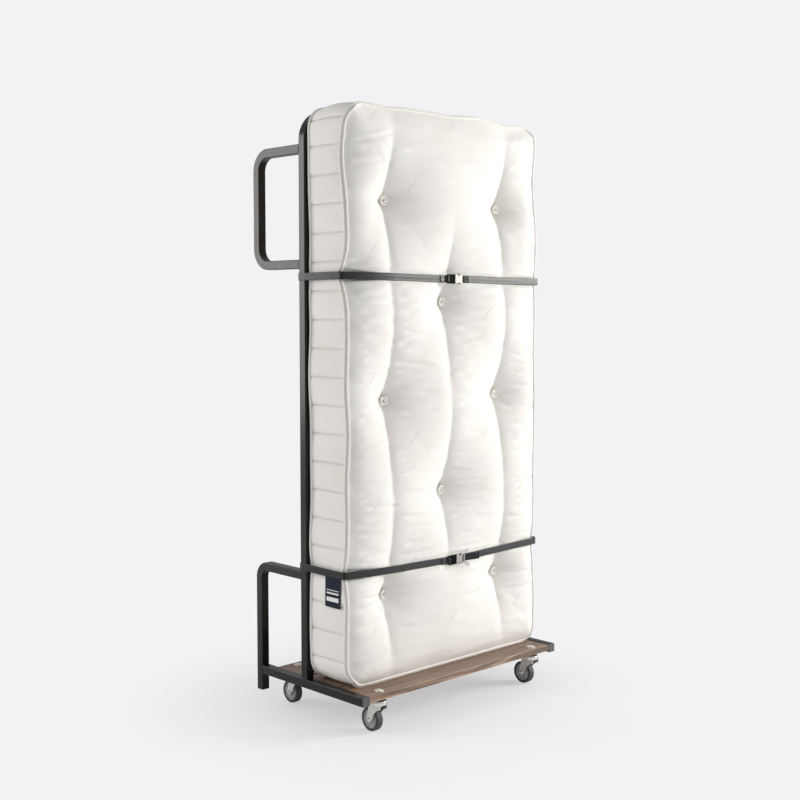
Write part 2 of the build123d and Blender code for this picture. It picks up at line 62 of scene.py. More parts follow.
# Area lights: name, place, target, size, power and colour
LIGHTS = (
    ("key_light", (4.9, -3.4, 2.65), (0, -0.2, 0.9), (2.0, 2.0), 288, (1, 0.985, 0.96)),
    ("low_light", (3.4, -2.7, 1.2), (0, -0.2, 1.0), (1.4, 2.2), 34, (1, 1, 1)),
    ("border_light", (-3.9, 1.0, 2.4), (-0.4, 0, 1.1), (1.2, 2.0), 14, (1, 0.98, 0.94)),
    ("rim_light", (-2.9, 3.1, 1.95), (-0.4, 0, 1.2), (1.6, 2.6), 70, (1, 0.98, 0.95)),
)

CAMERA_PLACE = (-3.0837, -3.1485, 1.3769)
CAMERA_DOWN, CAMERA_TURN = 4.155, -43.92  # degrees
CAMERA_LENS = 55.9

# ------------ sizes read from the frame

CORD_R = 4.5 * MM  # radius of the piping's CAD solid
piping_low, piping_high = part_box("mattress_piping")
HALF_W = piping_high.x - CORD_R
LOW = piping_low.z + CORD_R
HIGH = piping_high.z - CORD_R
FRONT = piping_low.y + CORD_R
BACK = piping_high.y - CORD_R
TOP_CORNER = 80 * MM
BOTTOM_CORNER = 74 * MM

CROWN = 26 * MM  # how far the face swells before the cloth settles
SWELL_LIMIT = 42 * MM  # how far forward of its edge the face may stand
TUFT_DEPTH = 36 * MM  # how deep the tufts pull the face in
TUFT_COLUMN = 0.275  # from the middle to the outer columns of tufts
VALLEY_DEPTH = 10 * MM  # of the furrows along the columns of tufts
LINE_DEPTH = 15 * MM  # of the tight line at the bottom of each furrow
STRAP_BACK = {"upper": 24 * MM, "lower": 13 * MM}  # how far back the straps pull the left front edge
PLUG_SLIDE = 28 * MM  # how far a buckle's plug pulls out, to the left

CELLS = (100, 203) if FINE else (50, 101)  # of the face's grid, across and up
RINGS = 20 if FINE else 10  # rows of cells from the front to the back of the border
SEAM_STEP = 10  # grid cells from one border seam to the next
SEAM_PITCH = (HIGH - LOW) / CELLS[1] * SEAM_STEP
SEAM_START = 14  # place of the first seam, in points of the doubled outline
HOLD = 0.35  # how firmly the furrows are held as the cloth settles


def middle(box, axis):
    return (box[0][axis] + box[1][axis]) / 2


def clusters(node, apart=0.05):
    """Centres of a CAD node's separate solids."""
    found = []
    for vertex in frame["nodes"][node].data.vertices:
        near = [c for c in found if (c[0] / c[1] - vertex.co).length < apart]
        if near:
            near[0][0] += vertex.co
            near[0][1] += 1
        else:
            found.append([vertex.co.copy(), 1])
    return [total / count for total, count in found]


def strap_line(name):
    """Heights of a strap's middle where it passes the post, left corner, buckle and right corner."""
    co = np.array([v.co for v in frame["nodes"][f"{name}_strap"].data.vertices])
    low, high = co.min(0), co.max(0)

    def height(near):
        return (co[near, 2].min() + co[near, 2].max()) / 2

    front = co[:, 1] < low[1] + 0.001
    return {
        "post": height(co[:, 1] > high[1] - 0.001),
        "left": height(front & (co[:, 0] < low[0] * 0.9)),
        "buckle": middle(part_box(f"{name}_buckle_socket"), 2),
        "right": height(front & (co[:, 0] > high[0] * 0.9)),
        "gap": (co[front & (co[:, 0] < 0.02), 0].max(), co[front & (co[:, 0] > 0.02), 0].min()),
    }


tuft_centres = [c for c in clusters("mattress_tufts") if c.y < (FRONT + BACK) / 2]
straps = {name: strap_line(name) for name in ("upper", "lower")}
WEB_WIDTH, WEB_THICK = 25 * MM, 2 * MM
strap_inner_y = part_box("upper_strap")[0].y + WEB_THICK


def strap_height(name, x):
    """Height of a strap's middle on the face."""
    line = straps[name]
    heights = [line[key] for key in ("left", "buckle", "buckle", "right")]
    return np.interp(x, [-HALF_W, *line["gap"], HALF_W], heights)


# ------------ helpers


def waves(points, seed, size, count=9):
    """Smooth seeded unevenness, about -1 to 1, at points (..., 3), with features of size (x, y, z)."""
    rng = np.random.default_rng(seed)
    k = rng.normal(0, 1, (count, 3)) * 2.2 / np.array(size)
    phase = rng.uniform(0, 2 * math.pi, count)
    return np.sin(points @ k.T + phase).sum(-1) / math.sqrt(count)


def gauss(size):
    """Weights of a running average of that standard deviation, in cells."""
    reach = int(3 * size) + 1
    weights = np.exp(-0.5 * (np.arange(-reach, reach + 1) / size) ** 2)
    return weights / weights.sum()


def blurred(shape, seed, across, up):
    """Smooth seeded noise over a grid, with a standard deviation of 1."""
    field = np.random.default_rng(seed).normal(0, 1, shape)
    for axis, size in ((0, across), (1, up)):
        field = np.apply_along_axis(np.convolve, axis, field, gauss(size), "same")
    return field / field.std()


def smoothed(field, size):
    """A field averaged across, which leaves its sideways creases."""
    weights = gauss(size)
    reach = len(weights) // 2
    padded = np.pad(field, ((reach, reach), (0, 0)), "edge")
    return np.apply_along_axis(np.convolve, 0, padded, weights, "valid")


def smooth_step(value, low, high):
    t = np.clip((value - low) / (high - low), 0, 1)
    return t * t * (3 - 2 * t)


def bump(distance, width):
    return np.exp(-((distance / width) ** 2))


def denser(points, step, least):
    """A line with more points: at least that many to each stretch, and no more than about a step apart."""
    dense = [points[0]]
    for a, b in zip(points, points[1:]):
        parts = max(least, int(np.linalg.norm(b - a) / step))
        dense += [a + (b - a) * (i + 1) / parts for i in range(parts)]
    return np.array(dense)


def mesh_object(name, points, faces, uvs=None, smooth=True):
    """Mesh from arrays; uvs is one (u, v) for each corner of each face, in metres."""
    mesh = bpy.data.meshes.new(name)
    mesh.from_pydata(np.asarray(points, float).tolist(), [], [list(map(int, f)) for f in faces])
    if uvs is not None:
        layer = mesh.uv_layers.new(name="metres")
        layer.data.foreach_set("uv", np.asarray(uvs, np.float32).ravel())
    mesh.polygons.foreach_set("use_smooth", [smooth] * len(mesh.polygons))
    mesh.update()
    piece = bpy.data.objects.new(name, mesh)
    bpy.context.scene.collection.objects.link(piece)
    return piece


def looped(grid):
    """A grid with its first column again at its end."""
    return np.concatenate([grid, grid[:, :1]], 1)


def corners_of(grid):
    """Values of a grid at each corner of each of its quads, such as the quads' vertex numbers."""
    corners = np.stack([grid[:-1, :-1], grid[1:, :-1], grid[1:, 1:], grid[:-1, 1:]], 2)
    return corners.reshape(-1, 4, *grid.shape[2:])


def dress(piece, *materials, slot, body=BODY):
    """Gives a new piece its materials and the body that it rides on; slot is not used."""
    for material in materials:
        piece.data.materials.append(material)
    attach(piece, body)
    return piece


def tube(path, profile, closed, frames):
    """Points, faces and uvs of a profile swept along a path. frames gives two directions for each point."""
    path, profile = np.asarray(path, float), np.asarray(profile, float)
    out, side = frames
    points = path[:, None] + out[:, None] * profile[None, :, :1] + side[:, None] * profile[None, :, 1:]
    n, m = len(path), len(profile)
    index = looped(np.arange(n * m).reshape(n, m))
    if closed:
        index = np.concatenate([index, index[:1]], 0)
    lengths = [
        np.append(0, np.cumsum(np.linalg.norm(np.diff(line, axis=0, append=line[:1]), axis=1)))
        for line in (path, profile)
    ]
    u, v = np.meshgrid(lengths[0][: len(index)], lengths[1], indexing="ij")
    corner = corners_of(np.stack([u, v], -1)).reshape(-1, 2)
    faces = [list(f) for f in corners_of(index)]
    if not closed:
        faces += [list(index[0, :-1])[::-1], list(index[-1, :-1])]
        corner = np.concatenate([corner, np.zeros((2 * m, 2))])
    return points.reshape(-1, 3), faces, corner


# ------------ materials


class Shader:
    """A material and the few calls that build its nodes."""

    def __init__(self, name, colour, roughness, metallic=0.0, **values):
        self.material = bpy.data.materials.new(name)
        self.material.use_nodes = True
        self.tree = self.material.node_tree
        self.surface = self.tree.nodes["Principled BSDF"]
        self.set("Base Color", (*colour, 1))
        self.set("Roughness", roughness)
        self.set("Metallic", metallic)
        for key, value in values.items():
            self.set(key.replace("_", " ").title().replace("Ior", "IOR"), value)

    def set(self, socket, value):
        self.surface.inputs[socket].default_value = value

    def node(self, kind, inputs=(), **settings):
        made = self.tree.nodes.new("ShaderNode" + kind)
        for key, value in settings.items():
            setattr(made, key, value)
        for key, value in dict(inputs).items():
            if isinstance(value, bpy.types.NodeSocket):
                self.tree.links.new(value, made.inputs[key])
            else:
                made.inputs[key].default_value = value
        return made

    def link(self, output, socket="Base Color"):
        self.tree.links.new(output, self.surface.inputs[socket])

    def coords(self, kind="Object", scale=(1, 1, 1), turn=(0, 0, 0)):
        if kind == "UV":
            source = self.node("UVMap", uv_map="metres").outputs[0]
        else:
            source = self.node("TexCoord").outputs[kind]
        inputs = {"Vector": source, "Scale": scale, "Rotation": turn}
        return self.node("Mapping", inputs).outputs[0]

    def noise(self, vector, scale, detail=3.0, roughness=0.5, distortion=0.0):
        inputs = {"Vector": vector, "Scale": scale, "Detail": detail}
        inputs |= {"Roughness": roughness, "Distortion": distortion}
        return self.node("TexNoise", inputs).outputs["Fac"]

    def wave(self, vector, scale, direction="X", distortion=0.0):
        inputs = {"Vector": vector, "Scale": scale, "Distortion": distortion}
        inputs |= {"Detail": 1.0, "Detail Scale": 1.5}
        return self.node("TexWave", inputs, bands_direction=direction).outputs["Fac"]

    def math(self, operation, a, b=0.0, clamp=False):
        return self.node("Math", {0: a, 1: b}, operation=operation, use_clamp=clamp).outputs[0]

    def ramp(self, factor, *stops):
        """Colour or value from a factor: each stop is (position, value or colour)."""
        made = self.node("ValToRGB", {"Fac": factor})
        elements = made.color_ramp.elements
        while len(elements) < len(stops):
            elements.new(0.5)
        for element, (position, value) in zip(elements, stops):
            element.position = position
            element.color = (value,) * 3 + (1,) if isinstance(value, (int, float)) else (*value, 1)
        return made.outputs["Color"]

    def range(self, factor, low, high, from_low=0.0, from_high=1.0, **settings):
        inputs = {"Value": factor, "From Min": from_low, "From Max": from_high}
        inputs |= {"To Min": low, "To Max": high}
        return self.node("MapRange", inputs, **settings).outputs[0]

    def axes(self, vector):
        return self.node("SeparateXYZ", {0: vector}).outputs

    def chequer(self, vector, scale, a, b):
        """One of two values, by the squares of a chequer."""
        squares = self.node("TexChecker", {"Vector": vector, "Scale": scale}).outputs["Fac"]
        return self.node("Mix", {0: squares, 2: a, 3: b}, data_type="FLOAT").outputs[0]

    def mix(self, factor, a, b, blend="MIX"):
        a, b = (c if isinstance(c, bpy.types.NodeSocket) else (*c, 1) for c in (a, b))
        inputs = {0: factor, 6: a, 7: b}
        return self.node("Mix", inputs, data_type="RGBA", blend_type=blend).outputs[2]

    def bump(self, *layers):
        """Stacked bumps, each (height, distance in metres, strength)."""
        normal = None
        for height, distance, strength in layers:
            inputs = {"Height": height, "Distance": distance, "Strength": strength}
            if normal:
                inputs["Normal"] = normal
            normal = self.node("Bump", inputs).outputs[0]
        self.link(normal, "Normal")
        return self.material


def powder_coat():
    """Satin charcoal powder coat: fine orange peel, faint dust and rubbed patches."""
    coat = {"coat_weight": 0.15, "coat_roughness": 0.12}
    s = Shader("frame_paint", (0.006, 0.006, 0.007), 0.32, specular_ior_level=0.3, **coat)
    at = s.coords()
    cloud = s.noise(at, 9, 5, 0.6)
    s.link(s.ramp(cloud, (0.3, (0.0028, 0.0028, 0.003)), (0.75, (0.006, 0.006, 0.0063))))
    s.link(s.range(s.noise(at, 40, 4), 0.26, 0.38), "Roughness")
    return s.bump((s.noise(at, 900, 2), 0.00012, 0.35), (s.noise(at, 2600, 1), 0.00004, 0.3))


def moulded(name, colour, roughness, grain=1500, lift=0.00005, specular=0.5):
    """Moulded plastic or rubber with a fine spark-eroded grain."""
    s = Shader(name, colour, roughness, specular_ior_level=specular)
    at = s.coords()
    darker = tuple(c * 0.8 for c in colour)
    lighter = tuple(min(1, c * 1.25 + 0.001) for c in colour)
    s.link(s.ramp(s.noise(at, 60, 3), (0.3, darker), (0.7, lighter)))
    s.link(s.range(s.noise(at, 120, 3), roughness - 0.08, roughness + 0.08), "Roughness")
    return s.bump((s.noise(at, grain, 2), lift, 0.5))


def plated(name, colour, roughness, cloud=25):
    """Zinc or nickel plating: cloudy, with fine rolling marks."""
    s = Shader(name, colour, roughness, 1.0)
    at = s.coords()
    darker = tuple(c * 0.86 for c in colour)
    s.link(s.ramp(s.noise(at, cloud, 6, 0.65), (0.35, darker), (0.7, colour)))
    s.link(s.range(s.noise(at, cloud * 4, 4), roughness - 0.08, roughness + 0.12), "Roughness")
    lines = s.noise(s.coords(scale=(1, 1, 14)), 350, 2)
    return s.bump((lines, 0.00003, 0.35))


def walnut():
    """Stained timber: long cathedral grain, pores along X and a satin lacquer."""
    s = Shader("stained_timber", (0.2, 0.12, 0.08), 0.45, coat_weight=0.15, coat_roughness=0.3)
    at = s.coords()
    slow = s.noise(s.coords(scale=(0.7, 9, 9)), 4.0, 4, 0.55, 0.6)
    rings = s.wave(s.coords(scale=(0.35, 6.5, 6.5)), 5.0, "Y", 9.0)
    streak = s.noise(s.coords(scale=(0.8, 26, 26)), 6, 6, 0.65)
    tone = s.math("ADD", s.math("MULTIPLY", rings, 0.34), s.math("MULTIPLY", slow, 0.40))
    tone = s.math("ADD", tone, s.math("MULTIPLY", streak, 0.34))
    wood = s.ramp(
        tone,
        (0.28, (0.070, 0.040, 0.026)),
        (0.45, (0.180, 0.110, 0.072)),
        (0.60, (0.280, 0.178, 0.118)),
        (0.76, (0.430, 0.300, 0.210)),
    )
    pores = s.noise(s.coords(scale=(3.0, 160, 160)), 9, 2, 0.5)
    dark = s.ramp(pores, (0.33, 0.55), (0.42, 1.0))
    s.link(s.mix(1.0, wood, dark, "MULTIPLY"))
    s.link(s.range(streak, 0.36, 0.58), "Roughness")
    return s.bump((pores, 0.0002, 0.35), (s.noise(at, 300, 3), 0.00005, 0.25))


def beech():
    """Lacquered bent ply: pale flecked faces and thin glue lines on the edges."""
    s = Shader("beech_ply", (0.72, 0.54, 0.36), 0.42)
    fleck = s.noise(s.coords(scale=(2.2, 60, 60)), 12, 3, 0.6)
    face = s.ramp(fleck, (0.3, (0.50, 0.34, 0.20)), (0.55, (0.66, 0.48, 0.31)), (0.75, (0.74, 0.57, 0.39)))
    layers = s.wave(s.coords(), 160, "Y", 0.4)
    s.link(s.mix(s.ramp(layers, (0.08, 1.0), (0.2, 0.0)), face, (0.36, 0.24, 0.14)))
    s.link(s.range(fleck, 0.34, 0.5), "Roughness")
    return s.bump((fleck, 0.0001, 0.3))


def weave(s, at, threads):
    """Plain weave of that many threads to the metre: a height from two crossed sets of threads."""
    warp, weft = (s.wave(at, threads / 2 / math.pi, way, 0.15) for way in "XY")
    return s.chequer(at, threads, warp, weft)


def ticking(name, stitched):
    """Cream cotton ticking: fine weave, soft slubs and a faint woven leaf here and there, or for the
    border, stitched seams with painted shade in their grooves instead of the leaf.
    """
    s = Shader(name, (0.84, 0.81, 0.75), 0.85, sheen_weight=0.25, sheen_roughness=0.5)
    s.set("Sheen Tint", (1, 0.98, 0.94, 1))
    uv = s.coords("UV")
    cloth = weave(s, uv, 1100)
    slub = s.noise(s.coords("UV", (1, 9, 1)), 140, 3, 0.6)
    cloud = s.noise(s.coords(), 5, 4, 0.55)
    base = s.ramp(cloud, (0.3, (0.785, 0.760, 0.710)), (0.7, (0.850, 0.832, 0.790)))
    base = s.mix(s.range(slub, 0.0, 0.10, 0.35, 0.7), base, (0.70, 0.67, 0.61))
    grain = ((slub, 0.0003, 0.4), (cloth, 0.00018, 0.5))
    if stitched:
        line = s.math("PINGPONG", s.axes(uv)[0], SEAM_PITCH / 2)
        dash = s.wave(uv, 40, "Y")
        # Mask of each seam's groove: it sinks the bump and also carries the painted shade below
        groove_and_shade = s.range(line, 1.0, 0.0, 0.0008, 0.0036)
        thread = s.math("MULTIPLY", s.math("LESS_THAN", line, 0.0008), s.math("GREATER_THAN", dash, 0.45))
        # Painted shade: the seam's groove is darkened in the colour, on top of the bump that sinks it
        base = s.mix(s.math("MULTIPLY", groove_and_shade, 0.26), base, (0.42, 0.40, 0.36))
        base = s.mix(s.math("MULTIPLY", thread, 0.6), base, (0.88, 0.87, 0.82))
        s.link(base)
        sunk = s.math("MULTIPLY", groove_and_shade, -1.0)
        return s.bump(*grain, (sunk, 0.0016, 0.9), (thread, 0.0006, 0.8))
    base = s.mix(s.math("MULTIPLY", leaf_mark(s, uv), 0.30), base, (0.55, 0.53, 0.48))
    s.link(base)
    return s.bump(*grain)


def leaf_mark(s, uv):
    """Mask of small slanting leaf sprigs, staggered in rows."""
    pitch_x, pitch_z, half_length, half_width = 0.36, 0.21, 0.032, 0.008
    x, z, _ = s.axes(uv)
    row = s.math("FLOOR", s.math("DIVIDE", z, pitch_z))
    x = s.math("ADD", x, s.math("MULTIPLY", s.math("MODULO", row, 2.0), pitch_x / 2))
    u = s.math("SUBTRACT", s.math("FLOORED_MODULO", x, pitch_x), pitch_x / 2)
    v = s.math("SUBTRACT", s.math("FLOORED_MODULO", z, pitch_z), pitch_z / 2)
    along = s.math("ADD", s.math("MULTIPLY", u, 0.72), s.math("MULTIPLY", v, 0.69))
    across = s.math("SUBTRACT", s.math("MULTIPLY", u, 0.69), s.math("MULTIPLY", v, 0.72))
    length = s.math("ABSOLUTE", s.math("MULTIPLY", along, 1 / half_length))
    width = s.math("ABSOLUTE", s.math("MULTIPLY", across, 1 / half_width))
    away = s.math("ADD", s.math("POWER", length, 2.0), s.math("POWER", width, 2.0))
    body = s.math("LESS_THAN", away, 1.0)
    vein = s.math("GREATER_THAN", s.wave(uv, 28, "DIAGONAL"), 0.45)
    return s.math("MULTIPLY", body, vein)


def binding():
    """Bias tape of the piping: its weave runs slantwise."""
    s = Shader("piping_cord", (0.82, 0.79, 0.72), 0.8, sheen_weight=0.2)
    cloth = weave(s, s.coords("UV", turn=(0, 0, math.radians(45))), 900)
    soft = s.noise(s.coords("UV", (1, 4, 1)), 60, 3)
    s.link(s.ramp(soft, (0.3, (0.80, 0.775, 0.715)), (0.7, (0.88, 0.86, 0.81))))
    return s.bump((soft, 0.0006, 0.4), (cloth, 0.0002, 0.6))


def wool():
    """Loose tufting wool."""
    s = Shader("tuft_wool", (0.92, 0.91, 0.87), 0.95, sheen_weight=0.5)
    fibre = s.noise(s.coords(), 700, 5, 0.7, 1.5)
    s.link(s.ramp(fibre, (0.3, (0.76, 0.73, 0.66)), (0.6, (0.94, 0.93, 0.89))))
    return s.bump((fibre, 0.0012, 0.9))


def webbing(name, shine):
    """Black polypropylene webbing: herringbone ribs across a raised selvedge."""
    s = Shader(name, (0.012, 0.012, 0.013), 0.45, specular_ior_level=shine)
    slant, counter = (s.wave(s.coords("UV", turn=(0, 0, math.radians(a))), 130) for a in (38, -38))
    rib = s.chequer(s.coords("UV", (0.001, 1, 1)), 160.0, slant, counter)
    fade = s.noise(s.coords("UV"), 45, 3)
    s.link(s.mix(rib, (0.004, 0.004, 0.0045), (0.016, 0.016, 0.017)))
    s.link(s.range(fade, 0.27, 0.36), "Roughness")
    return s.bump((rib, 0.00035, 0.3))


def label_cloth():
    """Navy woven label with two plain pale bands and a stitched edge."""
    s = Shader("label_cloth", (0.02, 0.04, 0.09), 0.75, sheen_weight=0.05, specular_ior_level=0.25)
    uv = s.coords("UV")
    x, y, _ = s.axes(uv)
    bands = [
        s.math("LESS_THAN", s.math("ABSOLUTE", s.math("SUBTRACT", y, centre)), half)
        for centre, half in ((0.026, 0.007), (0.046, 0.0028), (0.056, 0.0012))
    ]
    pale = s.math("ADD", s.math("ADD", bands[0], bands[1]), bands[2], clamp=True)
    inside = s.math("LESS_THAN", s.math("ABSOLUTE", s.math("SUBTRACT", x, 0.0375)), 0.0295)
    pale = s.math("MULTIPLY", pale, inside)
    threads = s.wave(uv, 420, "Y", 0.2)
    s.link(s.mix(pale, (0.004, 0.010, 0.026), (0.78, 0.78, 0.76)))
    return s.bump((threads, 0.0002, 0.6), (pale, 0.0003, 0.5))


# ------------ mattress


def panel_grid(cells):
    """Flat grid of (x, z) that fills the mattress's outline, its corners drawn in to their arcs."""
    x = np.linspace(-HALF_W, HALF_W, cells[0] + 1)
    z = np.linspace(LOW, HIGH, cells[1] + 1)
    grid_x, grid_z = np.meshgrid(x, z, indexing="ij")
    for side in (-1, 1):
        for end, radius in ((-1, BOTTOM_CORNER), (1, TOP_CORNER)):
            centre = LOW + radius if end < 0 else HIGH - radius
            a = np.clip((side * grid_x - (HALF_W - radius)) / radius, 0, 1)
            b = np.clip(end * (grid_z - centre) / radius, 0, 1)
            inside = (a > 0) & (b > 0)
            round_a, round_b = a * np.sqrt(1 - b * b / 2), b * np.sqrt(1 - a * a / 2)
            grid_x = np.where(inside, side * (HALF_W - radius + round_a * radius), grid_x)
            grid_z = np.where(inside, centre + end * round_b * radius, grid_z)
    return grid_x, grid_z


def inset_from(x, z):
    """Distance in from the mattress's outline, its corners taken as square."""
    return np.minimum(HALF_W - abs(x), np.minimum(z - LOW, HIGH - z))


def near_tufts(x, z, width):
    """From 1 at a tuft to 0 away from it."""
    return sum(bump(np.hypot(x - t.x, z - t.z), width) for t in tuft_centres)


def lie_back(name, x):
    """How far back a strap lies towards the mattress's left front edge."""
    return STRAP_BACK[name] * np.clip((-x - 0.24) / (HALF_W - 0.24), 0, 1.02) ** 2


def strap_grip(name, x, z):
    """How firmly a strap holds the face, from 0 to 1."""
    return smooth_step(-abs(z - strap_height(name, x)), -0.024, -0.012)


def resting_face(x, z):
    """The face before the cloth settles: a swell, dips at the tufts and furrows along their columns."""
    edge = np.clip(inset_from(x, z) / 0.07, 0, 1)
    y = FRONT - CROWN * (1 - (1 - edge) ** 2)
    deep = np.zeros_like(x)
    for tuft in tuft_centres:
        away = np.hypot((x - tuft.x) / 0.070, (z - tuft.z) / 0.088)
        deep = np.maximum(deep, np.exp(-(away**1.1)))
    y += (CROWN + TUFT_DEPTH) * deep * np.clip(edge * 1.5, 0, 1)
    return y + VALLEY_DEPTH * furrow(x, z, 0.030) * edge * (1 - deep)


def furrow(x, z, width, power=1.25):
    """Furrows along the columns of tufts, from 0 to 1: whole at the sides, short at the middle tufts."""
    depth = np.zeros_like(x)
    span = smooth_step(z, 0.50, 0.64) * smooth_step(-z, -1.66, -1.44)
    for tuft in tuft_centres:
        least = 0.6 if abs(tuft.x) > 0.1 else 0.5 * span
        reach = least + (1 - least) * bump(z - tuft.z, 0.20)
        sway = 0.005 * np.sin((z - tuft.z) * 7.0)
        across = abs(x - tuft.x - sway) / width
        depth = np.maximum(depth, reach * np.exp(-(across**power)))
    return depth


def pull_lines(x, z):
    """Depth of the creases that run sideways from the tufts, in metres."""
    rng = np.random.default_rng(7)
    depth = np.zeros_like(x)
    for tuft in tuft_centres:
        for side in (-1, 1):
            for _ in range(3):
                slope, start = rng.normal(0, 0.05), rng.normal(0, 0.012)
                reach, sharp = rng.uniform(0.12, 0.24), rng.uniform(0.005, 0.009)
                along = side * (x - tuft.x)
                line = tuft.z + start + slope * along
                fade = smooth_step(along, 0.0, 0.03) * smooth_step(-along, -reach, -0.02)
                depth += rng.uniform(1.2, 2.6) * MM * fade * bump(z - line, sharp)
    return depth * np.clip(inset_from(x, z) / 0.02, 0, 1)


def settle(points, hold, slack=0.06, frames=28):
    """Cloth simulation of the face: held points stay, and a little spare length creases between them."""
    nx, nz = points.shape[:2]
    flat = points.reshape(-1, 3)
    piece = mesh_object("settling_cloth", flat, corners_of(np.arange(nx * nz).reshape(nx, nz)))
    piece.shape_key_add(name="Basis")
    spare = piece.shape_key_add(name="spare")
    rest = flat * (1, 1, 1 + slack)
    rest[:, 2] -= (LOW + HIGH) / 2 * slack
    spare.data.foreach_set("co", rest.astype(np.float32).ravel())
    group = piece.vertex_groups.new(name="held")
    for level in np.unique(hold[hold > 0]):
        group.add(np.flatnonzero(hold.ravel() == level).tolist(), float(level), "REPLACE")
    modifier = piece.modifiers.new("Cloth", "CLOTH")
    cloth = modifier.settings
    cloth.rest_shape_key = spare
    cloth.vertex_group_mass = "held"
    cloth.quality, cloth.mass, cloth.air_damping = 6, 0.1, 1
    cloth.tension_stiffness = cloth.compression_stiffness = 15
    cloth.shear_stiffness, cloth.bending_stiffness = 5, 0.2
    cloth.use_pressure, cloth.uniform_pressure_force = True, 1.6
    cloth.effector_weights.gravity = 0
    modifier.collision_settings.use_collision = False
    modifier.point_cache.frame_start = 1
    modifier.point_cache.frame_end = frames
    for number in range(1, frames + 1):
        bpy.context.scene.frame_set(number)
    settled = piece.evaluated_get(bpy.context.evaluated_depsgraph_get())
    co = np.empty(len(flat) * 3, np.float32)
    settled.data.vertices.foreach_get("co", co)
    bpy.context.scene.frame_set(1)
    bpy.data.objects.remove(piece)
    return co.astype(float).reshape(nx, nz, 3)


def mattress_face():
    """The face's grid of points, settled."""
    x, z = panel_grid(CELLS)
    y = resting_face(x, z)
    edge = np.zeros_like(x, bool)
    edge[[0, -1]] = edge[:, [0, -1]] = True
    hold = np.round(HOLD * furrow(x, z, 0.010) ** 1.5, 2)
    for name in straps:
        grip = strap_grip(name, x, z)
        pressed = strap_inner_y + 0.8 * MM + lie_back(name, x)
        y = np.where(edge, y, y * (1 - grip) + np.maximum(y, pressed) * grip)
        hold = np.maximum(hold, np.round(0.9 * grip, 1))
    for tuft in tuft_centres:
        near = np.hypot(x - tuft.x, z - tuft.z) < 8.5 * MM
        y[near] = FRONT + TUFT_DEPTH
        hold[near] = 1
    hold[edge] = 1
    y += np.where(hold > 0.3, 0, 1.2 * MM * blurred(y.shape, 4, 7, 1.3))
    points = np.stack([x, y, z], -1)
    if FINE:
        points = settle(points, hold)
        loose = smooth_step(-near_tufts(x, z, 0.035), -0.75, -0.25)
        points[..., 1] += loose * (smoothed(points[..., 1], 0.9) - points[..., 1])
    points[..., 1] = np.maximum(points[..., 1], FRONT - SWELL_LIMIT)
    return points


def finer(grid):
    """Doubles a grid's points with cubic midpoints."""
    for axis in (0, 1):
        grid = np.swapaxes(grid, 0, axis)
        padded = np.concatenate([2 * grid[:1] - grid[1:2], grid, 2 * grid[-1:] - grid[-2:-1]])
        between = (9 * (padded[1:-2] + padded[2:-1]) - padded[:-3] - padded[3:]) / 16
        out = np.empty((2 * len(grid) - 1, *grid.shape[1:]))
        out[::2], out[1::2] = grid, between
        grid = np.swapaxes(out, 0, axis)
    return grid


def creases(x, z):
    """Depth of the ticking's sideways creases, in metres: families of short lines beside the furrows."""
    rng = np.random.default_rng(11)
    depth = 0.7 * MM * blurred(x.shape, 12, x.shape[0] / 14, x.shape[0] / 90)
    for column in (-0.46, -TUFT_COLUMN, 0.0, TUFT_COLUMN):
        z0 = LOW + 0.14
        while z0 < HIGH - 0.12:
            busy = 0.95 if 0.50 < z0 < straps["upper"]["left"] else 0.30
            z0 += rng.uniform(0.020, 0.040)
            if rng.random() > busy:
                continue
            begin, reach = column + rng.uniform(0.015, 0.06), rng.uniform(0.10, 0.21)
            slope, bend = rng.normal(0.04, 0.06), rng.normal(0, 0.3)
            thick, deep = rng.uniform(0.005, 0.0085), rng.uniform(2.2, 5.2) * MM
            along = x - begin
            line = z0 + slope * along + bend * along**2
            fade = smooth_step(along, 0.0, 0.04) * smooth_step(-along, -reach, 0.07 - reach)
            ridge = 0.6 * bump(z - line - 2 * thick, 1.6 * thick)
            depth += deep * fade * (bump(z - line, thick) - ridge)
    return depth * np.clip(inset_from(x, z) / 0.025, 0, 1)


def tight_line(x, z):
    """Depth of the tight line at the bottom of each furrow, in metres."""
    grip = sum(strap_grip(name, x, z) for name in straps)
    sunk = furrow(x, z, 0.032, 0.9) ** 1.5 * (1 - 0.8 * grip)
    ends = smooth_step(np.minimum(z - LOW, HIGH - z), 0.02, 0.24)
    return LINE_DEPTH * sunk * ends * smooth_step(inset_from(x, z), 0.01, 0.12)


def uneven(points):
    """The whole mattress's unevenness: its edges wander a little, and give where the straps pull."""
    x, y, z = np.moveaxis(points, -1, 0)
    pull = sum(bump(z - straps[name]["left"], 0.045) for name in straps) * smooth_step(-x, -0.2, 0.2)
    sides = smooth_step(abs(x), HALF_W - 0.10, HALF_W)
    out = points.copy()
    wander = 2.6 * MM * waves(points, 21, (0.9, 0.5, 0.17)) * (1 - np.clip(pull, 0, 1))
    out[..., 0] += np.sign(x) * sides * (wander - 3.5 * MM * pull)
    top = smooth_step(z, HIGH - 0.10, HIGH)
    column = bump(abs(x) - TUFT_COLUMN, 0.05) + 0.5 * bump(x, 0.05)
    out[..., 2] += top * (3.0 * MM * waves(points, 22, (0.16, 0.4, 0.9)) - 5.0 * MM * column + 2.0 * MM)
    out[..., 2] += top * 7.0 * MM * np.sin(math.pi * np.clip((y - FRONT) / (BACK - FRONT), 0, 1))
    front = smooth_step(-y, -FRONT - 0.06, -FRONT)
    edges = front * np.maximum(sides, top)
    out[..., 1] += edges * 1.8 * MM * waves(points, 23, (0.2, 0.5, 0.2))
    out[..., 1] += front * smooth_step(abs(x), HALF_W - 0.17, HALF_W - 0.005) ** 1.4 * lean(x, z)
    return out


